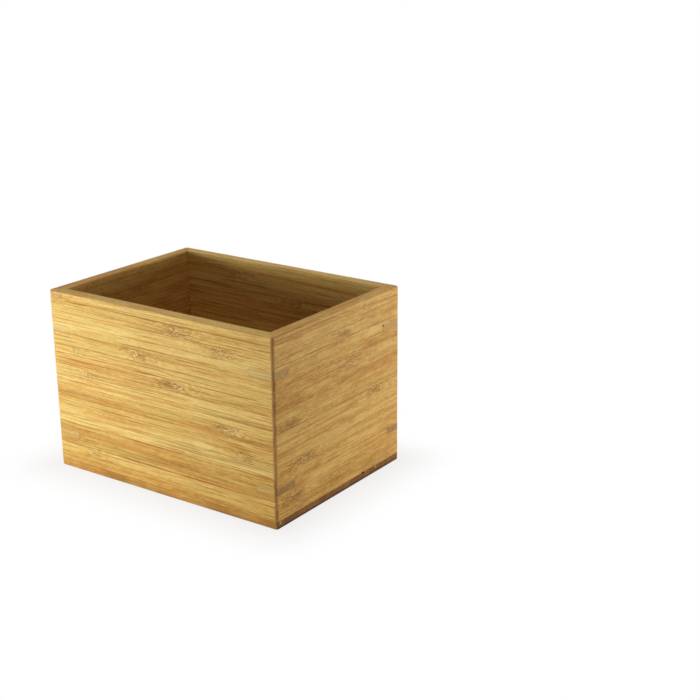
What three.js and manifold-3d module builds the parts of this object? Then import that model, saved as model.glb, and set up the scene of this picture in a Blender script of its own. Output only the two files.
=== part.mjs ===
// Open-topped utensil holder: four mitred bamboo walls on a glued base panel,
// with two corner keys let into each upright corner.
// Millimetres, +Z up. The origin is the middle of the underside, +X runs along the long front wall.
import * as THREE from "three";
import { mergeVertices } from "three/addons/utils/BufferGeometryUtils.js";
import Module from "manifold-3d";

// Driving dimensions
const boxWidth = 177; // outside, left to right
const boxDepth = 129; // outside, front to back
const boxHeight = 118; // underside to rim
const wallThickness = 8.4;
const baseThickness = 5;
const cornerEase = 2.2; // radius on the upright outside corners
const rimEase = 1; // radius on both arrises of the rim
const bottomEase = 0.8; // radius round the underside
const keyThickness = 4.4;
const keyInset = 23.6; // middle of a key from the rim, and from the underside
const keyCover = 0.6; // wood left between a key and the inside corner
const glueGap = 0.2; // glue line in the mitres and round the keys

// Degrees by which the inner edge of each hand-fitted key leans off square to its corner's diagonal.
// Where positive, the longer leg is on the wall to the right of the corner, seen from outside.
const keyLeans = {
  front_left: { lower: 6.5, upper: -3.5 },
  front_right: { lower: 6, upper: -7 },
  back_right: { lower: 8, upper: -5 },
  back_left: { lower: -4, upper: 3 },
};

// Sizes that follow
const mitreSetback = glueGap * Math.SQRT1_2; // half the glue line, measured along a wall
const keyDepth = wallThickness * Math.SQRT2 - keyCover; // from the outside corner, along its diagonal
const slotHeight = keyThickness + 2 * glueGap;
const keyHeights = { lower: keyInset, upper: boxHeight - keyInset };

// Modelling allowances
const overrun = 5; // how far a cutter passes the wood
const arcSteps = 3; // half the number of facets in a rounded arris

const bamboo = { metalness: 0, roughness: 0.5 };
const wallWood = new THREE.MeshStandardMaterial({ ...bamboo, color: 0xd2ab64 });
const baseWood = new THREE.MeshStandardMaterial({ ...bamboo, color: 0xb98f52 });
const keyWood = new THREE.MeshStandardMaterial({ ...bamboo, color: 0xc2a468 });

const wasm = await Module();
wasm.setup();

function solidOf(geometry) {
  const bare = geometry.clone();
  bare.deleteAttribute("normal");
  bare.deleteAttribute("uv");
  const merged = mergeVertices(bare);
  return new wasm.Manifold(
    new wasm.Mesh({
      numProp: 3,
      vertProperties: merged.attributes.position.array,
      triVerts: new Uint32Array(merged.index.array),
    }),
  );
}

function geometryOf(solid) {
  const { vertProperties, triVerts } = solid.getMesh();
  const indexed = new THREE.BufferGeometry();
  indexed.setAttribute("position", new THREE.BufferAttribute(vertProperties, 3));
  indexed.setIndex(new THREE.BufferAttribute(triVerts, 1));
  const flat = indexed.toNonIndexed();
  flat.computeVertexNormals();
  return flat;
}

function extrude(shape, depth) {
  return new THREE.ExtrudeGeometry(shape, { depth, bevelEnabled: false, curveSegments: arcSteps });
}

// A plan drawn in x and y, standing from one height to another.
function upright(plan, bottom, top) {
  return extrude(plan, top - bottom).translate(0, 0, bottom);
}

// A section drawn in y and z, running both ways along x.
function alongX(section, length) {
  return extrude(section, length)
    .translate(0, 0, -length / 2)
    .rotateX(Math.PI / 2)
    .rotateZ(Math.PI / 2);
}

// A section drawn in x and z, running both ways along y.
function alongY(section, length) {
  return extrude(section, length)
    .translate(0, 0, -length / 2)
    .rotateX(Math.PI / 2);
}

// Section that keeps what lies above a face at height 0, with both of the face's arrises rounded.
// The sides stand wide of the wood above the rounding.
function easedSection(start, end, ease, height) {
  const section = new THREE.Shape();
  section.moveTo(start - overrun, ease);
  section.lineTo(start, ease);
  section.absarc(start + ease, ease, ease, Math.PI, 1.5 * Math.PI, false);
  section.absarc(end - ease, ease, ease, 1.5 * Math.PI, 2 * Math.PI, false);
  section.lineTo(end + overrun, ease);
  section.lineTo(end + overrun, height + overrun);
  section.lineTo(start - overrun, height + overrun);
  section.closePath();
  return section;
}

// Walls: the outside face is at y = 0, the length runs along x, and the ends are mitred.
function wallPlan(length) {
  const half = length / 2 - mitreSetback;
  const plan = new THREE.Shape();
  plan.moveTo(half - wallThickness, wallThickness);
  plan.lineTo(-half + wallThickness, wallThickness);
  plan.absarc(-half + cornerEase, cornerEase, cornerEase, 1.25 * Math.PI, 1.5 * Math.PI, false);
  plan.absarc(half - cornerEase, cornerEase, cornerEase, 1.5 * Math.PI, 1.75 * Math.PI, false);
  plan.closePath();
  return plan;
}

// Lengths along x and y from an outside corner to a key's inner edge, or to its slot's with a clearance.
function keyLegs(leanDegrees, clearance = 0) {
  const lean = THREE.MathUtils.degToRad(leanDegrees);
  const reach = keyDepth * Math.cos(lean) + clearance; // square to the inner edge
  return { x: reach / Math.cos(Math.PI / 4 + lean), y: reach / Math.sin(Math.PI / 4 + lean) };
}

// Half of a key's seat: a three-cornered slot across the end of a wall, on the side given by sign.
function slotPlan(length, sign, alongLeg, acrossLeg) {
  const corner = (sign * length) / 2;
  const slope = acrossLeg / alongLeg;
  const plan = new THREE.Shape();
  plan.moveTo(corner + sign * overrun, -overrun);
  plan.lineTo(corner - sign * (alongLeg + overrun / slope), -overrun);
  plan.lineTo(corner + sign * overrun, acrossLeg + overrun * slope);
  plan.closePath();
  return plan;
}

function wallGeometry(length, leftLeans, rightLeans) {
  const wallHeight = boxHeight - baseThickness;
  const blank = solidOf(upright(wallPlan(length), baseThickness, boxHeight + overrun));
  const rimSection = easedSection(-wallThickness, 0, rimEase, wallHeight);
  const turnedOver = alongX(rimSection, length + 2 * overrun).rotateX(Math.PI);
  let wall = blank.intersect(solidOf(turnedOver.translate(0, 0, boxHeight)));
  for (const [level, middle] of Object.entries(keyHeights)) {
    const low = middle - slotHeight / 2;
    const left = keyLegs(leftLeans[level], glueGap);
    const right = keyLegs(rightLeans[level], glueGap);
    for (const plan of [slotPlan(length, -1, left.x, left.y), slotPlan(length, 1, right.y, right.x)]) {
      wall = wall.subtract(solidOf(upright(plan, low, low + slotHeight)));
    }
  }
  return geometryOf(wall);
}

// Base panel: flush with the walls outside and glued under them.
function basePlan() {
  const halfWidth = boxWidth / 2;
  const halfDepth = boxDepth / 2;
  const inX = halfWidth - cornerEase;
  const inY = halfDepth - cornerEase;
  const plan = new THREE.Shape();
  plan.moveTo(inX, -halfDepth);
  plan.absarc(inX, -inY, cornerEase, 1.5 * Math.PI, 2 * Math.PI, false);
  plan.absarc(inX, inY, cornerEase, 0, 0.5 * Math.PI, false);
  plan.absarc(-inX, inY, cornerEase, 0.5 * Math.PI, Math.PI, false);
  plan.absarc(-inX, -inY, cornerEase, Math.PI, 1.5 * Math.PI, false);
  plan.closePath();
  return plan;
}

function baseGeometry() {
  const blank = solidOf(upright(basePlan(), -overrun, baseThickness));
  const acrossWidth = easedSection(-boxWidth / 2, boxWidth / 2, bottomEase, baseThickness);
  const acrossDepth = easedSection(-boxDepth / 2, boxDepth / 2, bottomEase, baseThickness);
  const eased = blank
    .intersect(solidOf(alongY(acrossWidth, boxDepth + 2 * overrun)))
    .intersect(solidOf(alongX(acrossDepth, boxWidth + 2 * overrun)));
  return geometryOf(eased);
}

// Corner keys: the outside corner is at the origin, and the legs run along x and y.
function keyGeometry(leanDegrees) {
  const legs = keyLegs(leanDegrees);
  const plan = new THREE.Shape();
  plan.moveTo(legs.x, 0);
  plan.lineTo(0, legs.y);
  plan.absarc(cornerEase, cornerEase, cornerEase, Math.PI, 1.5 * Math.PI, false);
  plan.closePath();
  return upright(plan, -keyThickness / 2, keyThickness / 2);
}

function placedGroup(x, y, quarterTurns) {
  const group = new THREE.Group();
  group.position.set(x, y, 0);
  group.rotation.z = (quarterTurns * Math.PI) / 2;
  return group;
}

function namedMesh(name, geometry, material) {
  const mesh = new THREE.Mesh(geometry, material);
  mesh.name = name;
  return mesh;
}

const holder = new THREE.Group();
holder.name = "utensil_holder";
holder.add(namedMesh("base_panel", baseGeometry(), baseWood));

// Each wall runs from its own corner, at its left seen from outside, to the next one.
const corners = [
  { name: "front_left", x: -boxWidth / 2, y: -boxDepth / 2 },
  { name: "front_right", x: boxWidth / 2, y: -boxDepth / 2 },
  { name: "back_right", x: boxWidth / 2, y: boxDepth / 2 },
  { name: "back_left", x: -boxWidth / 2, y: boxDepth / 2 },
];
const sides = [
  { name: "front_wall", length: boxWidth, x: 0, y: -boxDepth / 2 },
  { name: "right_wall", length: boxDepth, x: boxWidth / 2, y: 0 },
  { name: "back_wall", length: boxWidth, x: 0, y: boxDepth / 2 },
  { name: "left_wall", length: boxDepth, x: -boxWidth / 2, y: 0 },
];
sides.forEach(({ name, length, x, y }, quarterTurns) => {
  const leftLeans = keyLeans[corners[quarterTurns].name];
  const rightLeans = keyLeans[corners[(quarterTurns + 1) % corners.length].name];
  const side = placedGroup(x, y, quarterTurns);
  side.add(namedMesh(name, wallGeometry(length, leftLeans, rightLeans), wallWood));
  holder.add(side);
});

corners.forEach(({ name, x, y }, quarterTurns) => {
  const corner = placedGroup(x, y, quarterTurns);
  for (const [level, height] of Object.entries(keyHeights)) {
    const mesh = namedMesh(`${name}_key_${level}`, keyGeometry(keyLeans[name][level]), keyWood);
    mesh.position.z = height;
    corner.add(mesh);
  }
  holder.add(corner);
});

export default holder;
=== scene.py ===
import math
import random
from bisect import bisect_right

import bmesh
import bpy
from mathutils import Matrix, Vector


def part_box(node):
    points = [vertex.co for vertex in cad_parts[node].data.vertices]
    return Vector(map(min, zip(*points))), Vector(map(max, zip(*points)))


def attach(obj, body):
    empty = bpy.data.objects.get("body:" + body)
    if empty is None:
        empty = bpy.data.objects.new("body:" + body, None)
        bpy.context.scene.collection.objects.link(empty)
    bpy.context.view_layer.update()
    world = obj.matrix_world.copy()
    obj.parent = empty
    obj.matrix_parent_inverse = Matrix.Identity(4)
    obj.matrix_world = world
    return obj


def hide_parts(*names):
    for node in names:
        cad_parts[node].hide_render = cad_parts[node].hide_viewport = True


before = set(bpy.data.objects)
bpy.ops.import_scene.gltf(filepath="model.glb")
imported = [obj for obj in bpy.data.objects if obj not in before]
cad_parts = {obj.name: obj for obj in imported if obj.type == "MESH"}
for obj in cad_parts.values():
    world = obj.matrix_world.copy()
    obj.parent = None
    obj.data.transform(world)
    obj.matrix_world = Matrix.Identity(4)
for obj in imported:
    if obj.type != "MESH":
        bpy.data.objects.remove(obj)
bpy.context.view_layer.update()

millimetre = 0.001

baseLow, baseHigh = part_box("base_panel")
frontLow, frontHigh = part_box("front_wall")
boxWidth = baseHigh.x - baseLow.x
boxDepth = baseHigh.y - baseLow.y
baseTop = baseHigh.z
rimTop = frontHigh.z
wallThickness = frontHigh.y - frontLow.y
print("frame: outside", [round(side / millimetre, 1) for side in (boxWidth, boxDepth, rimTop)], "mm")

# what all the pieces share
woodwork = {
    "cornerEase": 0.0022,              # radius on the upright outside corners
    "cornerFacets": 8,
    "smoothAngle": math.radians(25),
}
samePlace = 1e-6                       # places closer than this count as one
cutReach = 1e-7                        # points this near a cut lie on it


# small helpers for shaping and finishing the pieces

def takeUp(piece):
    bpy.ops.object.select_all(action="DESELECT")
    piece.select_set(True)
    bpy.context.view_layer.objects.active = piece


def editMode(piece):
    takeUp(piece)
    bpy.ops.object.mode_set(mode="EDIT")


def objectMode():
    bpy.ops.object.mode_set(mode="OBJECT")


def pick(piece, kind, test):
    kinds = ("verts", "edges", "faces")
    bpy.context.tool_settings.mesh_select_mode = [kind == name for name in kinds]
    bpy.ops.mesh.select_all(action="DESELECT")
    mesh = bmesh.from_edit_mesh(piece.data)
    for part in getattr(mesh, kind):
        if test(part):
            part.select_set(True)
    mesh.select_flush_mode()
    bmesh.update_edit_mesh(piece.data)


def addBlock(name, low, high):
    bpy.ops.object.select_all(action="DESELECT")
    middle = (Vector(low) + Vector(high)) / 2
    size = Vector(high) - Vector(low)
    bpy.ops.mesh.primitive_cube_add(size=1, location=middle, scale=size)
    block = bpy.context.object
    block.name = name
    block.data.name = name
    bpy.ops.object.transform_apply(location=True, rotation=True, scale=True)
    return block


def standsAtCorner(edge):
    first, last = (vert.co for vert in edge.verts)
    upright = abs(first.z - last.z) > samePlace
    return (upright and abs(abs(first.x) - boxWidth / 2) < samePlace
            and abs(abs(first.y) - boxDepth / 2) < samePlace)


def facesSideways(face):
    return abs(face.normal.z) < 0.5


def liesAtHeight(edge, height):
    level = all(abs(vert.co.z - height) < samePlace for vert in edge.verts)
    return level and any(facesSideways(face) for face in edge.link_faces)


def easeEdges(piece, radius, facets, test):
    pick(piece, "edges", test)
    bpy.ops.mesh.bevel(offset=radius, offset_type="OFFSET", segments=facets, profile=0.5, affect="EDGES")


def easeCorners(piece):
    easeEdges(piece, woodwork["cornerEase"], woodwork["cornerFacets"], standsAtCorner)


def cutAway(point, outward):
    bpy.ops.mesh.select_all(action="SELECT")
    bpy.ops.mesh.bisect(plane_co=point, plane_no=outward, use_fill=True, clear_outer=True,
                        threshold=cutReach)


def carve(piece, cutter):
    cut = piece.modifiers.new("carve", "BOOLEAN")
    cut.operation = "DIFFERENCE"
    cut.solver = "EXACT"
    cut.object = cutter
    takeUp(piece)
    bpy.ops.object.modifier_apply(modifier=cut.name)


def copyOf(piece, name):
    takeUp(piece)
    bpy.ops.object.duplicate()
    twin = bpy.context.object
    twin.name = name
    twin.data.name = name
    return twin


def scrap(piece):
    bpy.data.objects.remove(piece)


def finishPiece(piece, material, node):
    takeUp(piece)
    bpy.ops.object.shade_smooth_by_angle(angle=woodwork["smoothAngle"])
    piece.data.materials.clear()
    piece.data.materials.append(material)
    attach(piece, "root")
    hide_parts(node)


# camera, set up like the studio picture

cameraSetup = {
    "turn": math.radians(33.853),      # round to the right of the front wall
    "tilt": math.radians(18.432),      # looking down
    "distance": 0.8785,                # along the view to the middle of the box
    "boxAside": -0.09764,              # the box sits left of the optical axis
    "boxRise": -0.01866,               # and below it
    "focalLengthPx": 1371.7,
    "opticalAxisPx": (380.4, 346.9),
    "imagePx": 700,
    "sensorMm": 36,
    "clip": (0.01, 50),
}


def addCamera(setup):
    turn = Matrix.Rotation(setup["turn"], 3, "Z") @ Matrix.Rotation(math.pi / 2 - setup["tilt"], 3, "X")
    boxMiddle = Vector((0, 0, rimTop / 2))
    boxInView = Vector((setup["boxAside"], setup["boxRise"], -setup["distance"]))
    bpy.ops.object.select_all(action="DESELECT")
    bpy.ops.object.camera_add(location=boxMiddle - turn @ boxInView, rotation=turn.to_euler())
    camera = bpy.context.object
    camera.name = "studioCamera"
    lens = camera.data
    lens.sensor_width = setup["sensorMm"]
    lens.lens = setup["focalLengthPx"] / setup["imagePx"] * setup["sensorMm"]
    middlePx = setup["imagePx"] / 2
    lens.shift_x = (middlePx - setup["opticalAxisPx"][0]) / setup["imagePx"]
    lens.shift_y = (setup["opticalAxisPx"][1] - middlePx) / setup["imagePx"]
    lens.clip_start, lens.clip_end = setup["clip"]
    bpy.context.scene.camera = camera


addCamera(cameraSetup)
print("camera placed")


# shader building blocks

def linear(*screen):                   # 0 to 255 on screen, as the colour that a shader takes
    shares = [level / 255 for level in screen]
    curve = [share / 12.92 if share <= 0.04045 else ((share + 0.055) / 1.055) ** 2.4 for share in shares]
    return (*curve, 1.0)


def feed(tree, socket, value):
    if isinstance(value, bpy.types.NodeSocket):
        tree.links.new(value, socket)
    else:
        socket.default_value = value


def calc(tree, operation, *values, clamp=False):
    node = tree.nodes.new("ShaderNodeMath")
    node.operation = operation
    node.use_clamp = clamp
    for socket, value in zip(node.inputs, values):
        feed(tree, socket, value)
    return node.outputs[0]


def product(tree, first, *others):
    for other in others:
        first = calc(tree, "MULTIPLY", first, other)
    return first


def total(tree, first, *others):
    for other in others:
        first = calc(tree, "ADD", first, other)
    return first


def vectorCalc(tree, operation, first, second):
    node = tree.nodes.new("ShaderNodeVectorMath")
    node.operation = operation
    feed(tree, node.inputs[0], first)
    feed(tree, node.inputs["Scale"] if operation == "SCALE" else node.inputs[1], second)
    return node.outputs[0]


def split(tree, vector):
    node = tree.nodes.new("ShaderNodeSeparateXYZ")
    feed(tree, node.inputs[0], vector)
    return node.outputs


def join(tree, x, y, z):
    node = tree.nodes.new("ShaderNodeCombineXYZ")
    for socket, value in zip(node.inputs, (x, y, z)):
        feed(tree, socket, value)
    return node.outputs[0]


def cloud(tree, place, seed, stretch, detail=2, roughness=0.5):
    node = tree.nodes.new("ShaderNodeTexNoise")
    node.noise_dimensions = "4D"
    feed(tree, node.inputs["Vector"], vectorCalc(tree, "DIVIDE", place, stretch))
    feed(tree, node.inputs["W"], seed)
    node.inputs["Scale"].default_value = 1
    node.inputs["Detail"].default_value = detail
    node.inputs["Roughness"].default_value = roughness
    return node.outputs[0]


def smoothRange(tree, value, low, high, start=0, end=1):
    node = tree.nodes.new("ShaderNodeMapRange")
    node.interpolation_type = "SMOOTHSTEP"
    for socket, number in zip(node.inputs, (value, low, high, start, end)):
        feed(tree, socket, number)
    return node.outputs[0]


def bell(tree, value, width):          # 1 at zero, falling off to both sides
    ratio = calc(tree, "DIVIDE", value, width)
    return calc(tree, "EXPONENT", product(tree, ratio, ratio, -1))


def blend(tree, factor, first, second):
    node = tree.nodes.new("ShaderNodeMix")
    node.data_type = "RGBA"
    for socket, value in ((0, factor), (6, first), (7, second)):       # 6 and 7 are the colours
        feed(tree, node.inputs[socket], value)
    return node.outputs[2]


def attribute(tree, name):
    node = tree.nodes.new("ShaderNodeAttribute")
    node.attribute_type = "GEOMETRY"
    node.attribute_name = name
    return node.outputs["Fac"]


def newGroup(name, takes, gives):      # Place is a vector, all else are numbers
    group = bpy.data.node_groups.new(name, "ShaderNodeTree")
    for way, labels in (("INPUT", takes), ("OUTPUT", gives)):
        for label in labels:
            kind = "NodeSocketVector" if label == "Place" else "NodeSocketFloat"
            group.interface.new_socket(label, in_out=way, socket_type=kind)
    start = group.nodes.new("NodeGroupInput")
    end = group.nodes.new("NodeGroupOutput")
    return group, start.outputs, end.inputs


def placeGroup(tree, group, **values):
    node = tree.nodes.new("ShaderNodeGroup")
    node.node_tree = group
    for label, value in values.items():
        feed(tree, node.inputs[label], value)
    return node.outputs


# bamboo fibre along x, in millimetres: bands, streaks, flecks, hair lines and drifts of hue

fibreSetup = {
    "seedStep": 7.3,                   # sets the layers' patterns apart
    "roughness": 0.6,
    # size along, through and across the fibres, then the noise at which a layer starts and is full
    "layers": {
        "Broad": {"size": (85, 4.0, 2.2), "detail": 3, "range": (0.32, 0.68)},
        "Fine": {"size": (46, 1.2, 0.92), "detail": 3, "range": (0.38, 0.62)},
        "Fleck": {"size": (3.2, 0.9, 0.6), "detail": 2, "range": (0.36, 0.64)},
        "Mottle": {"size": (12, 4.0, 3.0), "detail": 3, "range": (0.32, 0.68)},
        "Hair": {"size": (42, 0.9, 0.62), "detail": 2, "range": (0.56, 0.64)},
        "Gleam": {"size": (36, 1.0, 0.7), "detail": 2, "range": (0.57, 0.66)},
        "Streak": {"size": (110, 6.0, 1.3), "detail": 3, "range": (0.56, 0.65)},
        "Hue": {"size": (50, 3.0, 1.5), "detail": 3, "range": (0.34, 0.66)},
        "Blotch": {"size": (34, 14, 13), "detail": 2, "range": (0.34, 0.66)},
    },
}


def makeFibreGroup(setup):
    layers = setup["layers"]
    group, given, result = newGroup("bambooFibre", ("Place", "Seed"), layers)
    for index, (label, layer) in enumerate(layers.items()):
        seed = calc(group, "ADD", given["Seed"], setup["seedStep"] * index)
        noise = cloud(group, given["Place"], seed, layer["size"], layer["detail"], setup["roughness"])
        feed(group, result[label], smoothRange(group, noise, *layer["range"]))
    return group


# culm joint: the knot across a strip, a brown smear to one side, ruffled fibres, light and dark flecks

culmSetup = {
    # along and across the strip, in mm except as noted
    "width": 0.75,                     # of half a strip
    "ragged": 1.1,                     # how uneven the edges of the knot are
    "raggedSize": (5, 2.2, 1),
    "swirlReach": 11,
    "swirlLift": 5.0,
    "swirlSize": (4.2, 2.6, 1),
    "ruffleReach": 16,
    "smearReach": 8,
    "smearShift": 5.0,
    "smearSize": (9, 1.7, 1),
    "smearRange": (0.34, 0.58),
    "fleckReach": 4.6,
    "fleckSize": (2.4, 0.6, 1),
    "fleckRange": (0.515, 0.565),
    "fleckSeeds": {"Dark": 3.1, "Light": 7.7},
    "grain": {"detail": 3, "roughness": 0.6},
    "tickWidth": 0.55,
    "tickBend": 2,
    "tickLength": 0.8,                 # of half a strip
}


def makeCulmGroup(setup):
    group, given, result = newGroup("culmJoint",
                                    ("Along", "Across", "Height", "Seed", "Size", "Side", "Tick"),
                                    ("Swirl", "Ruffle", "Smear", "Dark", "Light"))
    along, across, seed, size = (given[label] for label in ("Along", "Across", "Seed", "Size"))
    place = join(group, along, given["Height"], 0)
    ragged = calc(group, "SUBTRACT", cloud(group, place, seed, setup["raggedSize"]), 0.5)
    edge = calc(group, "ADD", across, calc(group, "MULTIPLY", ragged, setup["ragged"]))
    body = calc(group, "MULTIPLY", bell(group, edge, setup["width"]), size)

    turning = calc(group, "SUBTRACT", cloud(group, place, seed, setup["swirlSize"], detail=1), 0.5)
    near = bell(group, along, setup["swirlReach"])
    feed(group, result["Swirl"], product(group, near, size, turning, setup["swirlLift"]))
    feed(group, result["Ruffle"], product(group, bell(group, along, setup["ruffleReach"]), size))

    toSide = calc(group, "MULTIPLY", given["Side"], setup["smearShift"])
    trail = bell(group, calc(group, "SUBTRACT", along, toSide), setup["smearReach"])
    smear = cloud(group, place, seed, setup["smearSize"], **setup["grain"])
    smear = product(group, smoothRange(group, smear, *setup["smearRange"]), trail)
    feed(group, result["Smear"], calc(group, "MULTIPLY", smear, body, clamp=True))

    core = calc(group, "MULTIPLY", bell(group, along, setup["fleckReach"]), body)
    flecks = {}
    for label, offset in setup["fleckSeeds"].items():
        fleck = cloud(group, place, calc(group, "ADD", seed, offset), setup["fleckSize"], **setup["grain"])
        fleck = smoothRange(group, fleck, *setup["fleckRange"])
        flecks[label] = calc(group, "MULTIPLY", fleck, core, clamp=True)
    bent = calc(group, "ADD", along, calc(group, "MULTIPLY", ragged, setup["tickBend"]))
    tick = product(group, bell(group, bent, setup["tickWidth"]), given["Tick"],
                   bell(group, across, setup["tickLength"]))
    feed(group, result["Dark"], calc(group, "MAXIMUM", flecks["Dark"], tick, clamp=True))
    feed(group, result["Light"], flecks["Light"])
    return group


# glue line: a dark seam along the edges of a strip, which comes and goes along its length

glueSetup = {
    "stretch": (30, 1, 1),
    "range": (0.40, 0.62),
    "fade": (0.12, 0.62),              # full to nothing, in mm from the edge of the strip
}


def makeGlueGroup(setup):
    group, given, result = newGroup("glueLine", ("Across", "Half", "Along", "Seed", "Above", "Below"),
                                    ("Line",))
    place = join(group, given["Along"], 0, 0)
    comesAndGoes = smoothRange(group, cloud(group, place, given["Seed"], setup["stretch"]), *setup["range"])
    lines = []
    for label, side in (("Above", 1), ("Below", -1)):
        toEdge = calc(group, "SUBTRACT", 1, calc(group, "MULTIPLY", given["Across"], side))
        near = smoothRange(group, product(group, toEdge, given["Half"]), *setup["fade"], 1, 0)
        lines.append(calc(group, "MULTIPLY", near, given[label]))
    line = calc(group, "MAXIMUM", *lines)
    feed(group, result["Line"], calc(group, "MULTIPLY", line, comesAndGoes, clamp=True))
    return group


# pale patch: a lens of lighter wood in a strip

paleSetup = {
    "length": 8,
    "width": 0.7,                      # of half a strip
    "raggedSize": (6, 0.8, 1),
    "range": (0.25, 0.6),
}


def makePaleGroup(setup):
    group, given, result = newGroup("paleLens", ("Along", "Across", "Seed", "Size"), ("Mask",))
    place = join(group, given["Along"], given["Across"], 0)
    ragged = calc(group, "SUBTRACT", cloud(group, place, given["Seed"], setup["raggedSize"]), 0.5)
    across = calc(group, "ADD", given["Across"], ragged)
    lens = product(group, bell(group, given["Along"], setup["length"]), bell(group, across, setup["width"]))
    mask = smoothRange(group, lens, *setup["range"])
    feed(group, result["Mask"], calc(group, "MULTIPLY", mask, given["Size"]))
    return group


# end grain: the dots of the cut bundles, and a mottle

endGrainSetup = {
    "dotPitch": (6, 0.75, 0.75),
    "dotFade": (0.12, 0.5),
    "mottleSize": (8, 3.2, 3.2),
    "mottleRange": (0.34, 0.66),
}


def makeEndGrainGroup(setup):
    group, given, result = newGroup("endGrain", ("Place", "Seed"), ("Dots", "Mottle"))
    dots = group.nodes.new("ShaderNodeTexVoronoi")
    dots.feature = "F1"
    feed(group, dots.inputs["Vector"], vectorCalc(group, "DIVIDE", given["Place"], setup["dotPitch"]))
    dots.inputs["Scale"].default_value = 1
    feed(group, result["Dots"], smoothRange(group, dots.outputs["Distance"], *setup["dotFade"], 1, 0))
    mottle = cloud(group, given["Place"], given["Seed"], setup["mottleSize"], detail=3, roughness=0.6)
    feed(group, result["Mottle"], smoothRange(group, mottle, *setup["mottleRange"]))
    return group


# arris: a slightly burnt line along the rim, painted shade along the foot where the box meets the floor,
# pale specks under the bottom edge

arrisSetup = {
    # the turns are the upward part of the normal
    "lineTurn": 0.62,
    "lineSpread": 0.26,
    "linePatches": {"seed": 4.0, "stretch": (22, 22, 22)},
    "linePatchRange": (0.34, 0.62),
    "lineLeast": 0.35,
    "flatTurn": (0.75, 0.95),
    # painted shade along the foot: the downward-facing bottom ease, fading out a few mm above the floor
    "footShadeTurn": (-0.97, -0.75),
    "footShadeFade": (0.4, 2.5),            # in mm above the floor
    "wornTurn": (-0.15, -0.45),
    "wornSpecks": {"seed": 9.0, "stretch": (2.2, 1.4, 1.4), "detail": 3, "roughness": 0.7},
    "wornRange": (0.60, 0.68),
}


def makeArrisGroup(setup):
    group, given, result = newGroup("burntArris", ("Upward", "Above", "Place"),
                                    ("Line", "Flat", "FootShade", "Worn"))
    upward, place = given["Upward"], given["Place"]
    leaning = bell(group, calc(group, "SUBTRACT", upward, setup["lineTurn"]), setup["lineSpread"])
    patches = cloud(group, place, **setup["linePatches"])
    patchy = smoothRange(group, patches, *setup["linePatchRange"], setup["lineLeast"], 1)
    feed(group, result["Line"], calc(group, "MULTIPLY", leaning, patchy))
    feed(group, result["Flat"], smoothRange(group, upward, *setup["flatTurn"]))

    # painted shade along the foot, where the box meets the floor
    upright = smoothRange(group, upward, *setup["footShadeTurn"])
    low = smoothRange(group, given["Above"], *setup["footShadeFade"], 1, 0)
    feed(group, result["FootShade"], calc(group, "MULTIPLY", upright, low))
    under = smoothRange(group, upward, *setup["wornTurn"])
    specks = smoothRange(group, cloud(group, place, **setup["wornSpecks"]), *setup["wornRange"])
    feed(group, result["Worn"], calc(group, "MULTIPLY", under, specks))
    return group


fibreGroup = makeFibreGroup(fibreSetup)
culmGroup = makeCulmGroup(culmSetup)
glueGroup = makeGlueGroup(glueSetup)
paleGroup = makePaleGroup(paleSetup)
endGrainGroup = makeEndGrainGroup(endGrainSetup)
arrisGroup = makeArrisGroup(arrisSetup)
print("shader groups built")


# bamboo finishes

bambooColours = {
    "straw": (233, 205, 125),
    "honey": (213, 172, 90),
    "toffee": (176, 123, 50),
    "sapGreen": (212, 186, 102),
    "russet": (203, 142, 65),
    "fibreLine": (146, 89, 36),
    "glueBrown": (132, 77, 30),
    "knotBrown": (138, 87, 39),
    "fleckPale": (240, 213, 136),
    "endBrown": (214, 165, 98),
    "endDark": (174, 125, 70),
    # painted shade, for the foot by the floor and for the inside of the pits
    "paintedShadeBrown": (62, 38, 18),
}
endWallColours = {
    **bambooColours,
    "straw": (230, 191, 109),
    "honey": (210, 163, 84),
    "toffee": (175, 114, 46),
    "sapGreen": (209, 171, 92),
    "russet": (196, 136, 64),
    "fleckPale": (228, 191, 112),
}
baseColours = {
    **bambooColours,
    "straw": (213, 169, 91),
    "honey": (199, 149, 74),
    "toffee": (169, 114, 48),
    "endBrown": (149, 105, 61),
    "endDark": (103, 67, 36),
}
# key colours: painted sheen makes the faces to the front and back lighter and greener, and the end-grain
# colours paint shade on the faces to the sides
keyLitAndShadedColours = {
    **bambooColours,
    "straw": (223, 198, 130),
    "honey": (207, 176, 106),
    "toffee": (184, 146, 80),
    "sapGreen": (206, 180, 108),
    "russet": (204, 162, 92),
    "endBrown": (200, 160, 99),
    "endDark": (159, 118, 69),
}

# how strongly each layer of the fibre shows, and how far a face turns before it shows end grain
longGrain = {
    "tone": 0.21, "broad": 0.19, "fine": 0.22, "fleck": 0.29, "mottle": 0.12, "blotch": 0, "hue": 0.70,
    "hair": 0.58, "gleam": 0.18, "streak": 0.46, "knot": 1.1, "endTurn": (0.08, 0.40),
}
endWallGrain = {
    "tone": 0.13, "broad": 0.12, "fine": 0.14, "fleck": 0.48, "mottle": 0.25, "blotch": 0.38, "hue": 0.85,
    "hair": 0.35, "gleam": 0.12, "streak": 0.32, "knot": 1.15, "endTurn": (0.08, 0.40),
}
baseGrain = {
    **longGrain,
    "broad": 0.22, "fine": 0.40, "hue": 0.30, "streak": 0.30, "knot": 0.7, "endTurn": (0.55, 0.92),
}
keyGrainAndSideShade = {
    **longGrain,
    # on the keys the end-grain colours on the faces to the sides are painted shade
    "tone": 0.26, "broad": 0.26, "streak": 0.24, "hair": 0.24, "endTurn": (0.30, 0.60),
}

lacquer = {
    "roughness": 0.48,
    "fibreRoughness": 0.16,
    "endRoughness": 0.2,
    "specular": 0.12,
    "reliefMm": 0.06,
    "reliefStrength": 0.6,
    "fibreDepth": 0.5,                 # of the depth of a glue line
}

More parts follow.
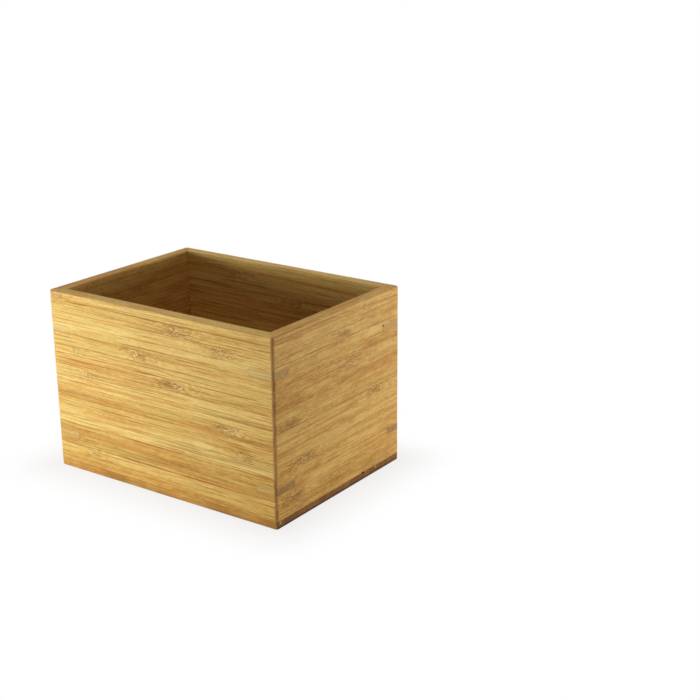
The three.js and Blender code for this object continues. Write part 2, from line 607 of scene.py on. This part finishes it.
# the plain strip under its marks
stripLook = {
    "middle": 0.58,                    # shade of a plain strip, from 0 for toffee to 1 for straw
    "lean": 0.10,                      # light to dark across a strip
    "ruffle": 0.6,                     # more flecks round a knot
    "driftSize": (60, 30, 30),
    "drift": 0.8,                      # mm that the fibres wander
    "patchSize": (52, 12, 7),
    "patchHue": 0.6,
    "fibreHue": 0.5,
    "hueOffset": -0.05,
    "greenRange": (0.52, 0.82),
    "redRange": (0.48, 0.18),
}

# how much of its colour each mark lays over the wood
markShares = {
    "pale": 0.7, "glue": 0.9, "rimFlat": 0.18, "rimLine": 0.66,
    "smear": 0.60, "darkFleck": 0.85, "lightFleck": 0.75,
    "cutFibre": 0.42, "cutTone": 0.32,
    # painted shade along the foot, on side grain and more on end grain
    "footShadeSide": 0.15, "footShadeEnd": 0.70, "worn": 0.4,
    # bare wood in the chips, and painted shade inside the pits
    "bareWoodAndPitShade": 0.7, "pitShade": 0.9,
}


# where a point lies on its strip, with the fibres turned to run along x
def readStrip(tree, turn):
    coords = tree.nodes.new("ShaderNodeTexCoord")
    turned = {}
    for label, kind in (("Object", "POINT"), ("Normal", "VECTOR")):
        mapping = tree.nodes.new("ShaderNodeMapping")
        mapping.vector_type = kind
        mapping.inputs["Rotation"].default_value = turn
        tree.links.new(coords.outputs[label], mapping.inputs["Vector"])
        turned[label] = mapping.outputs[0]
    place = vectorCalc(tree, "SCALE", turned["Object"], 1 / millimetre)
    along, through, height = split(tree, place)
    half = attribute(tree, "stripHalf")
    fromMiddle = calc(tree, "SUBTRACT", height, attribute(tree, "stripMid"))
    return {
        "place": place, "along": along, "through": through, "height": height, "half": half,
        "across": calc(tree, "DIVIDE", fromMiddle, half),
        "endOn": calc(tree, "ABSOLUTE", split(tree, turned["Normal"])[0]),
        "upward": split(tree, coords.outputs["Normal"])[2],
        "above": calc(tree, "DIVIDE", split(tree, coords.outputs["Object"])[2], millimetre),
        "tone": attribute(tree, "stripTone"),
        "seed": attribute(tree, "stripSeed"),
        "lean": attribute(tree, "stripLean"),
    }


def placeFigure(tree, strip):
    place, along, height = strip["place"], strip["along"], strip["height"]
    across, seed = strip["across"], strip["seed"]
    fromKnot = calc(tree, "SUBTRACT", along, attribute(tree, "culmPlace"))
    fromPale = calc(tree, "SUBTRACT", along, attribute(tree, "palePlace"))
    culm = placeGroup(tree, culmGroup, Along=fromKnot, Across=across, Height=height, Seed=seed,
                      Size=attribute(tree, "culmSize"), Side=attribute(tree, "culmSide"),
                      Tick=attribute(tree, "culmTick"))
    drift = product(tree, cloud(tree, place, seed, stripLook["driftSize"], detail=1), stripLook["drift"])
    lifted = total(tree, height, culm["Swirl"], drift)
    return {
        "culm": culm,
        "fibre": placeGroup(tree, fibreGroup, Place=join(tree, along, strip["through"], lifted), Seed=seed),
        "glue": placeGroup(tree, glueGroup, Across=across, Half=strip["half"], Along=along, Seed=seed,
                           Above=attribute(tree, "glueAbove"), Below=attribute(tree, "glueBelow")),
        "pale": placeGroup(tree, paleGroup, Along=fromPale, Across=across, Seed=seed,
                           Size=attribute(tree, "paleSize")),
        "endGrain": placeGroup(tree, endGrainGroup, Place=place, Seed=seed),
        "arris": placeGroup(tree, arrisGroup, Upward=strip["upward"], Above=strip["above"], Place=place),
    }


# light and dark of the strip, and its drifts towards green and red
def plainStrip(tree, strip, figure, grain, paint):
    fibre = figure["fibre"]

    def swing(label, share):
        return calc(tree, "MULTIPLY", calc(tree, "SUBTRACT", fibre[label], 0.5), share)

    shade = total(
        tree,
        product(tree, strip["tone"], grain["tone"]),
        product(tree, strip["across"], strip["lean"], stripLook["lean"]),
        *(swing(label, grain[label.lower()]) for label in ("Broad", "Fine", "Fleck", "Mottle", "Blotch")),
        product(tree, swing("Fleck", 1), figure["culm"]["Ruffle"], stripLook["ruffle"] * grain["knot"]))
    ramp = tree.nodes.new("ShaderNodeValToRGB")
    ramp.color_ramp.elements[0].color = paint["toffee"]
    ramp.color_ramp.elements[1].color = paint["straw"]
    ramp.color_ramp.elements.new(0.5).color = paint["honey"]
    feed(tree, ramp.inputs["Fac"], calc(tree, "ADD", shade, stripLook["middle"], clamp=True))
    colour = ramp.outputs["Color"]

    patches = cloud(tree, strip["place"], strip["seed"], stripLook["patchSize"])
    hue = total(tree, product(tree, patches, stripLook["patchHue"]), stripLook["hueOffset"],
                product(tree, fibre["Hue"], stripLook["fibreHue"]))
    for label, hues in (("sapGreen", stripLook["greenRange"]), ("russet", stripLook["redRange"])):
        colour = blend(tree, smoothRange(tree, hue, *hues, 0, grain["hue"]), colour, paint[label])
    return colour


# streaks, pale patches, seams, the burnt rim and the knots
def drawFigure(tree, colour, figure, grain, paint):
    fibre, culm, arris = (figure[label] for label in ("fibre", "culm", "arris"))
    layers = (
        (fibre["Gleam"], grain["gleam"], "straw"),
        (fibre["Hair"], grain["hair"], "fibreLine"),
        (fibre["Streak"], grain["streak"], "fibreLine"),
        (figure["pale"]["Mask"], markShares["pale"], "fleckPale"),
        (figure["glue"]["Line"], markShares["glue"], "glueBrown"),
        (arris["Flat"], markShares["rimFlat"], "russet"),
        (arris["Line"], markShares["rimLine"], "fibreLine"),
        (culm["Smear"], markShares["smear"] * grain["knot"], "knotBrown"),
        (culm["Dark"], markShares["darkFleck"] * grain["knot"], "knotBrown"),
        (culm["Light"], markShares["lightFleck"] * grain["knot"], "fleckPale"),
    )
    for mask, share, label in layers:
        colour = blend(tree, calc(tree, "MULTIPLY", mask, share), colour, paint[label])
    return colour


# end grain, painted shade along the foot by the floor, worn specks, bare wood in the chips and painted
# shade inside the pits
def drawWear(tree, colour, strip, figure, endGrainAndKeyShadeMask, paint):
    arris, endGrain = figure["arris"], figure["endGrain"]
    cutFibre = product(tree, total(tree, endGrain["Dots"], endGrain["Mottle"]), markShares["cutFibre"])
    byTone = calc(tree, "MULTIPLY", strip["tone"], markShares["cutTone"])
    cutFibre = calc(tree, "SUBTRACT", cutFibre, byTone, clamp=True)
    colour = blend(tree, endGrainAndKeyShadeMask, colour, blend(tree, cutFibre, paint["endBrown"], paint["endDark"]))
    footShadeShare = total(tree, product(tree, endGrainAndKeyShadeMask, markShares["footShadeEnd"]), markShares["footShadeSide"])
    bareAndShade = attribute(tree, "bareWoodAndPitShade")
    layers = (
        # painted shade along the foot where the box meets the floor
        (product(tree, arris["FootShade"], footShadeShare), "paintedShadeBrown"),
        (product(tree, arris["Worn"], markShares["worn"]), "fleckPale"),
        # bare, pale wood in the chips, and painted shade darkening the inside of the pits
        (calc(tree, "MULTIPLY", bareAndShade, markShares["bareWoodAndPitShade"], clamp=True), "fleckPale"),
        (calc(tree, "MULTIPLY", bareAndShade, -markShares["pitShade"], clamp=True), "paintedShadeBrown"),
    )
    for mask, label in layers:
        colour = blend(tree, mask, colour, paint[label])
    return colour


def makeBamboo(name, turn, colours, grain, finish):
    material = bpy.data.materials.new(name)
    material.use_nodes = True
    tree = material.node_tree
    shader = tree.nodes["Principled BSDF"]
    paint = {label: linear(*screen) for label, screen in colours.items()}
    strip = readStrip(tree, turn)
    figure = placeFigure(tree, strip)
    fibre = figure["fibre"]
    # faces that look along the fibres get end grain; on the keys these are the side faces, where it paints
    # shade
    endGrainAndKeyShadeMask = smoothRange(tree, strip["endOn"], *grain["endTurn"])

    colour = plainStrip(tree, strip, figure, grain, paint)
    colour = drawFigure(tree, colour, figure, grain, paint)
    colour = drawWear(tree, colour, strip, figure, endGrainAndKeyShadeMask, paint)
    tree.links.new(colour, shader.inputs["Base Color"])
    shader.inputs["Specular IOR Level"].default_value = finish["specular"]

    rough = total(tree, product(tree, fibre["Fine"], finish["fibreRoughness"]), finish["roughness"])
    rough = calc(tree, "ADD", rough, product(tree, endGrainAndKeyShadeMask, finish["endRoughness"]), clamp=True)
    tree.links.new(rough, shader.inputs["Roughness"])

    relief = product(tree, total(tree, fibre["Fine"], fibre["Hair"]), -finish["fibreDepth"])
    relief = calc(tree, "SUBTRACT", relief, figure["glue"]["Line"])
    bump = tree.nodes.new("ShaderNodeBump")
    bump.inputs["Strength"].default_value = finish["reliefStrength"]
    bump.inputs["Distance"].default_value = finish["reliefMm"] * millimetre
    tree.links.new(relief, bump.inputs["Height"])
    tree.links.new(bump.outputs[0], shader.inputs["Normal"])
    return material


quarterTurn = math.pi / 2
longWallWood = makeBamboo("longWallBamboo", (0, 0, 0), bambooColours, longGrain, lacquer)
endWallWood = makeBamboo("endWallBamboo", (0, 0, -quarterTurn), endWallColours, endWallGrain, lacquer)
baseWood = makeBamboo("baseBamboo", (quarterTurn, 0, 0), baseColours, baseGrain, lacquer)
keyWood = makeBamboo("keyBamboo", (0, 0, 0), keyLitAndShadedColours, keyGrainAndSideShade, lacquer)
print("bamboo finishes made")


# corner keys: three-cornered slips, each fitted to a slot of its own length

keySetup = {
    "tones": {
        "front_right_key_lower": -1.5,
        "front_right_key_upper": -0.1,
        "back_right_key_lower": -1.3,
        "back_right_key_upper": 0.8,
        "back_left_key_lower": 0.1,
        "back_left_key_upper": 0.5,
        "front_left_key_lower": -1.0,
        "front_left_key_upper": 0.5,
    },
    "slack": {"front_left_key_lower": 0.00016, "back_right_key_upper": 0.00008},     # slots cut too long
    "glueGap": 0.00003,
    "arris": 0.00006,
    "arrisAngle": math.radians(40),    # edges sharper than this are eased
    "overrun": 0.002,
}


# where the inner edge of a key meets the face, and the way from there into the wood
def keyInnerEdge(node):
    low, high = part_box(node)
    corner = Vector((math.copysign(boxWidth / 2, low.x), math.copysign(boxDepth / 2, low.y), 0))
    legs = low + high - 2 * corner
    return corner + Vector((legs.x, 0, 0)), Vector((1 / legs.x, 1 / legs.y, 0)).normalized()


def makeKeySlip(node, setup):
    slip = addBlock(f"{node}_slip", *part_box(node))
    editMode(slip)
    easeCorners(slip)
    cutAway(*keyInnerEdge(node))
    easeEdges(slip, setup["arris"], 1, lambda edge: edge.calc_face_angle(0) > setup["arrisAngle"])
    objectMode()
    return slip


def makeSlotCutter(node, setup):
    low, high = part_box(node)
    room = Vector((setup["overrun"], setup["overrun"], setup["glueGap"]))
    innerEdge, inward = keyInnerEdge(node)
    cutter = addBlock(f"{node}_cutter", low - room, high + room)
    editMode(cutter)
    cutAway(innerEdge + inward * (setup["glueGap"] + setup["slack"].get(node, 0)), inward)
    objectMode()
    return cutter


keySlips = {node: makeKeySlip(node, keySetup) for node in keySetup["tones"]}
slotCutters = {node: makeSlotCutter(node, keySetup) for node in keySetup["tones"]}
print("corner keys made:", len(keySlips))


# strips: which strip of a board each face belongs to, and how that strip looks

stripChances = {
    "tone": (-0.7, 0.7),
    "seed": (0, 100),
    "culmPlace": (-80, 80),
    "culmSize": (0, 0, 0.6, 0.9),
    "culmTick": (0, 0, 0.5),
    "glue": (0.1, 0.2, 0.5),
    "side": (-1, 1),
}


# what is known of a board's strips takes the place of what is drawn by chance
def stripRows(seams, low, high, known):
    rng = random.Random(known["seed"])
    edges = [low, *seams, high]
    rows = []
    for index, (bottom, top) in enumerate(zip(edges, edges[1:])):
        row = {
            "stripMid": (bottom + top) / 2,
            "stripHalf": (top - bottom) / 2,
            "stripTone": rng.uniform(*stripChances["tone"]),
            "stripSeed": rng.uniform(*stripChances["seed"]),
            "stripLean": rng.choice(stripChances["side"]),
            "culmPlace": rng.uniform(*stripChances["culmPlace"]),
            "culmSize": rng.choice(stripChances["culmSize"]),
            "culmSide": rng.choice(stripChances["side"]),
            "culmTick": rng.choice(stripChances["culmTick"]),
            "palePlace": 0,
            "paleSize": 0,
            "glueAbove": rng.choice(stripChances["glue"]),
            "glueBelow": rng.choice(stripChances["glue"]),
        }
        if "tones" in known:
            row["stripTone"] = known["tones"][index]
        if "glue" in known:
            row["glueBelow"], row["glueAbove"] = (0, *known["glue"], 0)[index:index + 2]
        if "pales" in known:
            row["palePlace"], row["paleSize"] = known["pales"].get(index, (0, 0))
        if "culms" in known:
            place, size, side, tick = known["culms"].get(index, (0, 0, 0, 0))
            row.update(culmPlace=place, culmSize=size, culmSide=side, culmTick=tick)
        row["culmTick"] *= row["culmSize"]
        rows.append(row)
    return rows


def markStrips(piece, rows, axis):
    edges = [row["stripMid"] + row["stripHalf"] for row in rows[:-1]]
    mesh = piece.data
    places = [bisect_right(edges, face.center[axis] / millimetre) for face in mesh.polygons]
    for label in rows[0]:
        layer = mesh.attributes.new(label, "FLOAT", "FACE")
        layer.data.foreach_set("value", [float(rows[place][label]) for place in places])


# seams at an even pitch, each a little off its place
def evenSeams(low, high, setup):
    rng = random.Random(setup["seed"])
    count = round((high - low) / setup["pitch"])
    pitch = (high - low) / count
    wander = setup["wander"]
    return [low + pitch * (index + rng.uniform(-wander, wander)) for index in range(1, count)]


seamGroove = {
    "width": 0.00024,
    "depth": 0.00007,
}


def grooveSeams(piece, seams, axis, groove):
    normal = Vector((0, 0, 0))
    normal[axis] = 1
    editMode(piece)
    for seam in seams:
        middle = seam * millimetre
        for step in (-0.5, 0, 0.5):
            bpy.ops.mesh.select_all(action="SELECT")
            bpy.ops.mesh.bisect(plane_co=normal * (middle + step * groove["width"]), plane_no=normal,
                                threshold=cutReach)
        pick(piece, "verts", lambda vert: abs(vert.co[axis] - middle) < samePlace)
        bpy.ops.transform.shrink_fatten(value=-groove["depth"])
    objectMode()


# worn places on the right side: a pit and two chips along the base, and a pit at the end of a slot; the
# pits are darkened inside with painted shade

chipFacets = 2
chipMarks = {
    # mm from the near corner, mm above the top of the base, then length, height and depth
    # the last number is 1 for bare, pale wood in a chip; below 0 it is painted shade darkening the inside
    # of a pit
    "pit": {"along": 88.0, "above": -0.2, "size": (2.8, 1.3, 2.6), "bareAndShade": -1},
    "chip": {"along": 102.2, "above": -1.0, "size": (2.0, 1.8, 0.5), "bareAndShade": 0.9},
    "cornerChip": {"along": 3.3, "above": -1.3, "size": (1.6, 2.0, 0.4), "bareAndShade": 1},
    "slotPit": {"along": 110.7, "above": 91.3, "size": (1.8, 1.5, 0.4), "bareAndShade": -0.45},
}


def makeChipCutter(name, mark):
    length, height, depth = mark["size"]
    place = Vector((boxWidth / 2, mark["along"] * millimetre - boxDepth / 2,
                    mark["above"] * millimetre + baseTop))
    bpy.ops.object.select_all(action="DESELECT")
    bpy.ops.mesh.primitive_ico_sphere_add(subdivisions=chipFacets, radius=0.5, location=place,
                                          scale=Vector((2 * depth, length, height)) * millimetre)
    cutter = bpy.context.object
    cutter.name = name
    bpy.ops.object.transform_apply(location=True, rotation=True, scale=True)
    return cutter


def chipPiece(piece, marks):
    for name, mark in marks.items():
        cutter = makeChipCutter(name, mark)
        low, high = Vector(cutter.bound_box[0]), Vector(cutter.bound_box[6])
        carve(piece, cutter)
        scrap(cutter)
        mesh = piece.data
        # 1 for bare wood, below 0 for painted shade inside a pit
        layer = mesh.attributes.get("bareWoodAndPitShade") or mesh.attributes.new("bareWoodAndPitShade", "FLOAT", "FACE")
        for face in mesh.polygons:
            inside = all(low[axis] < face.center[axis] < high[axis] for axis in range(3))
            if inside and face.center.x < boxWidth / 2 - samePlace:
                layer.data[face.index].value = mark["bareAndShade"]


# walls: one ring with eased edges, then four mitred boards cut out of it

wallSetup = {
    "rimEase": 0.0010,
    "rimFacets": 5,
    "footEase": 0.00012,
    "mitreGap": 0.00003,
}


def makeWallRing(setup):
    low = Vector((-boxWidth / 2, -boxDepth / 2, baseTop))
    high = Vector((boxWidth / 2, boxDepth / 2, rimTop))
    ring = addBlock("wallRing", low, high)
    editMode(ring)
    pick(ring, "faces", lambda face: not facesSideways(face))
    bpy.ops.mesh.inset(thickness=wallThickness, use_individual=True)
    bpy.ops.mesh.delete(type="FACE")
    pick(ring, "edges", lambda edge: edge.is_boundary)
    bpy.ops.mesh.bridge_edge_loops()
    easeCorners(ring)
    easeEdges(ring, setup["rimEase"], setup["rimFacets"], lambda edge: liesAtHeight(edge, rimTop))
    easeEdges(ring, setup["footEase"], 1, lambda edge: liesAtHeight(edge, baseTop))
    objectMode()
    return ring


wallBoards = {
    "front": {
        "facing": (0, -1), "wood": longWallWood, "seed": 11,
        # seams in mm below the rim, from the bottom strip up
        "seams": (107, 100.6, 93.5, 86.5, 80.6, 73.8, 66, 60.5, 54, 47.5, 40, 34, 26.5, 19.8, 12.6, 5.4),
        "glue": (0.1, 1, 0.2, 0.8, 0.4, 0.3, 0.6, 0.1, 0.3, 0.2, 1, 0.3, 0.7, 0.4, 0.1, 0.9),
        "tones": (-0.7, 0.5, -1.5, -1.2, 1.3, 0.4, -0.3, -0.6, 0.8, 0.9, 0, 0.5, 0.4, 0.6, 0.7, -0.1, 0.1),
        # strip number from the bottom: mm right of the middle, size, side of the smear, tick
        "culms": {1: (-60, 0.5, 1, 0), 5: (65, 0.8, 1, 0), 7: (54, 1.1, -1, 0), 9: (-59, 0.45, 1, 1.6),
                  10: (15, 1.2, -1, 0.3), 11: (-69, 0.5, 1, 0.3), 12: (-17, 0.9, 1, 0),
                  14: (52, 0.9, -1, 0.6), 15: (16, 0.95, -0.3, 0), 16: (-86, 0.9, 1, 0)},
        # strip number: mm right of the middle, strength
        "pales": {5: (33, 0.7), 7: (57, 0.5)},
    },
    "right": {
        "facing": (1, 0), "wood": endWallWood, "seed": 23,
        "seams": (105.5, 98.5, 92, 85.5, 78.5, 72, 65.5, 58.8, 52.5, 46, 39, 32, 25.5, 18.7, 11.8, 5),
        "glue": (0.1, 0.2, 0.1, 0.2, 0.1, 0.3, 0.1, 0.6, 0.1, 0.2, 0.3, 0.1, 0.4, 0.9, 0.1, 0.3),
        "tones": (-1, 0, 1.6, 0.2, 0.1, 0.4, 0.6, 0.5, -0.6, 0.1, -1.5, -0.3, -1.8, -0.3, 0.9, 0.7, -0.4),
        "culms": {0: (-43, 0.5, 1, 0), 1: (-52, 1.4, 1, 0), 4: (-40, 1.1, 1, 0), 7: (42, 1.1, -1, 0.4),
                  8: (-56, 1.1, 1, 0), 11: (9, 0.8, -1, 0.3), 14: (0, 1.0, 1, 0)},
        "pales": {13: (36, 1), 6: (40, 0.3), 0: (-38, 0.3)},
    },
    "back": {"facing": (0, 1), "wood": longWallWood, "seed": 37, "pitch": 6.7, "wander": 0.09},
    "left": {"facing": (-1, 0), "wood": endWallWood, "seed": 41, "pitch": 6.7, "wander": 0.09},
}


def makeWall(ring, side, board, setup):
    wall = copyOf(ring, f"{side}_board")
    facing = Vector((*board["facing"], 0))
    corner = Vector((boxWidth / 2, boxDepth / 2, 0))
    editMode(wall)
    for hand in (-1, 1):
        sideways = Vector((-facing.y, facing.x, 0)) * hand
        outward = (sideways - facing).normalized()
        mitre = corner * (facing + sideways)               # each axis by itself
        cutAway(mitre - outward * setup["mitreGap"], outward)
    objectMode()
    for node, cutter in slotCutters.items():
        if side in node.split("_"):
            carve(wall, cutter)
    if side == "right":
        chipPiece(wall, chipMarks)
    low, high = baseTop / millimetre, rimTop / millimetre
    if "seams" in board:
        seams = [high - seam for seam in board["seams"]]
    else:
        seams = evenSeams(low, high, board)
    grooveSeams(wall, seams, 2, seamGroove)
    markStrips(wall, stripRows(seams, low, high, board), 2)
    finishPiece(wall, board["wood"], f"{side}_wall")


wallRing = makeWallRing(wallSetup)
for side, board in wallBoards.items():
    makeWall(wallRing, side, board, wallSetup)
scrap(wallRing)
print("walls made:", len(wallBoards))


# base panel under the walls

baseSetup = {
    "bottomEase": 0.0008,
    "bottomFacets": 4,
    "topEase": 0.00012,
    "pitch": 6.7,
    "wander": 0.1,
    "seed": 53,
    "frontStrip": {"stripTone": 0.3, "culmSize": 0, "culmTick": 0},
}


def makeBase(setup):
    base = addBlock("base_board", baseLow, baseHigh)
    editMode(base)
    easeCorners(base)
    easeEdges(base, setup["bottomEase"], setup["bottomFacets"], lambda edge: liesAtHeight(edge, baseLow.z))
    easeEdges(base, setup["topEase"], 1, lambda edge: liesAtHeight(edge, baseTop))
    objectMode()
    chipPiece(base, chipMarks)
    front, back = baseLow.y / millimetre, baseHigh.y / millimetre
    seams = evenSeams(front, back, setup)
    grooveSeams(base, seams, 1, seamGroove)
    rows = stripRows(seams, front, back, setup)
    rows[0].update(setup["frontStrip"])
    markStrips(base, rows, 1)
    finishPiece(base, baseWood, "base_panel")


makeBase(baseSetup)
print("base made")

for node, slip in keySlips.items():
    scrap(slotCutters[node])
    low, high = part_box(node)
    known = {"seed": node, "tones": (keySetup["tones"][node],), "culms": {}}
    markStrips(slip, stripRows((), low.z / millimetre, high.z / millimetre, known), 2)
    finishPiece(slip, keyWood, node)
print("corner keys finished")


# floor, backdrop and soft studio light

studio = {
    "floorSize": 14,
    "floorHeight": -0.0001,
    "floorWhite": 0.86,
    "glowNear": 0.80,                  # share of plain white seen on the floor beside the box
    "glowReach": 0.042,                # from the box's sides to all white
    "ambient": 0.10,
    "lamps": {
        "leftSoftbox": {"place": (-0.37, -0.48, 0.10), "size": (0.36, 0.16), "watts": 2.95},
        "rightSoftbox": {"place": (0.42, 0.32, 0.08), "size": (0.34, 0.18), "watts": 1.42},
        "topSoftbox": {"place": (0, 0, 1.20), "size": (0.35, 0.35), "watts": 5.2},
    },
}


# 1 for what is seen directly, in a reflection or through glass
def seenRays(tree):
    path = tree.nodes.new("ShaderNodeLightPath")
    seen = calc(tree, "MAXIMUM", path.outputs["Is Camera Ray"], path.outputs["Is Glossy Ray"])
    return calc(tree, "MAXIMUM", seen, path.outputs["Is Transmission Ray"])


def makeFloorWhite(setup):
    material = bpy.data.materials.new("studioWhite")
    material.use_nodes = True
    tree = material.node_tree
    tree.nodes.remove(tree.nodes["Principled BSDF"])
    diffuse = tree.nodes.new("ShaderNodeBsdfDiffuse")
    diffuse.inputs["Color"].default_value = (setup["floorWhite"],) * 3 + (1,)
    glow = tree.nodes.new("ShaderNodeEmission")
    glow.inputs["Strength"].default_value = 1
    coords = tree.nodes.new("ShaderNodeTexCoord")
    squares = []
    for place, half in zip(split(tree, coords.outputs["Object"]), (boxWidth / 2, boxDepth / 2)):
        beyond = calc(tree, "SUBTRACT", calc(tree, "ABSOLUTE", place), half)
        squares.append(calc(tree, "POWER", calc(tree, "MAXIMUM", beyond, 0), 2))
    away = calc(tree, "SQRT", calc(tree, "ADD", *squares))
    share = smoothRange(tree, away, 0, setup["glowReach"], setup["glowNear"], 1)
    mix = tree.nodes.new("ShaderNodeMixShader")
    feed(tree, mix.inputs[0], calc(tree, "MULTIPLY", seenRays(tree), share))
    tree.links.new(diffuse.outputs[0], mix.inputs[1])
    tree.links.new(glow.outputs[0], mix.inputs[2])
    tree.links.new(mix.outputs[0], tree.nodes["Material Output"].inputs["Surface"])
    return material


def makeFloor(setup):
    bpy.ops.object.select_all(action="DESELECT")
    bpy.ops.mesh.primitive_plane_add(size=setup["floorSize"], location=(0, 0, setup["floorHeight"]))
    floor = bpy.context.object
    floor.name = "studioFloor"
    floor.data.materials.append(makeFloorWhite(setup))


def makeWorld(setup):
    world = bpy.data.worlds.new("studioAir")
    bpy.context.scene.world = world
    world.use_nodes = True
    tree = world.node_tree
    background = tree.nodes["Background"]
    background.inputs["Color"].default_value = (1, 1, 1, 1)
    strength = total(tree, product(tree, seenRays(tree), 1 - setup["ambient"]), setup["ambient"])
    tree.links.new(strength, background.inputs["Strength"])


def makeLamps(setup):
    aim = Vector((0, 0, rimTop / 2))
    for name, lamp in setup["lamps"].items():
        place = Vector(lamp["place"])
        turn = (aim - place).to_track_quat("-Z", "Y").to_euler()
        bpy.ops.object.select_all(action="DESELECT")
        bpy.ops.object.light_add(type="AREA", location=place, rotation=turn)
        light = bpy.context.object
        light.name = name
        light.data.shape = "RECTANGLE"
        light.data.size, light.data.size_y = lamp["size"]
        light.data.energy = lamp["watts"]
        light.visible_camera = False


makeFloor(studio)
makeWorld(studio)
makeLamps(studio)
bpy.context.scene.view_settings.view_transform = "Standard"
print("studio lit")
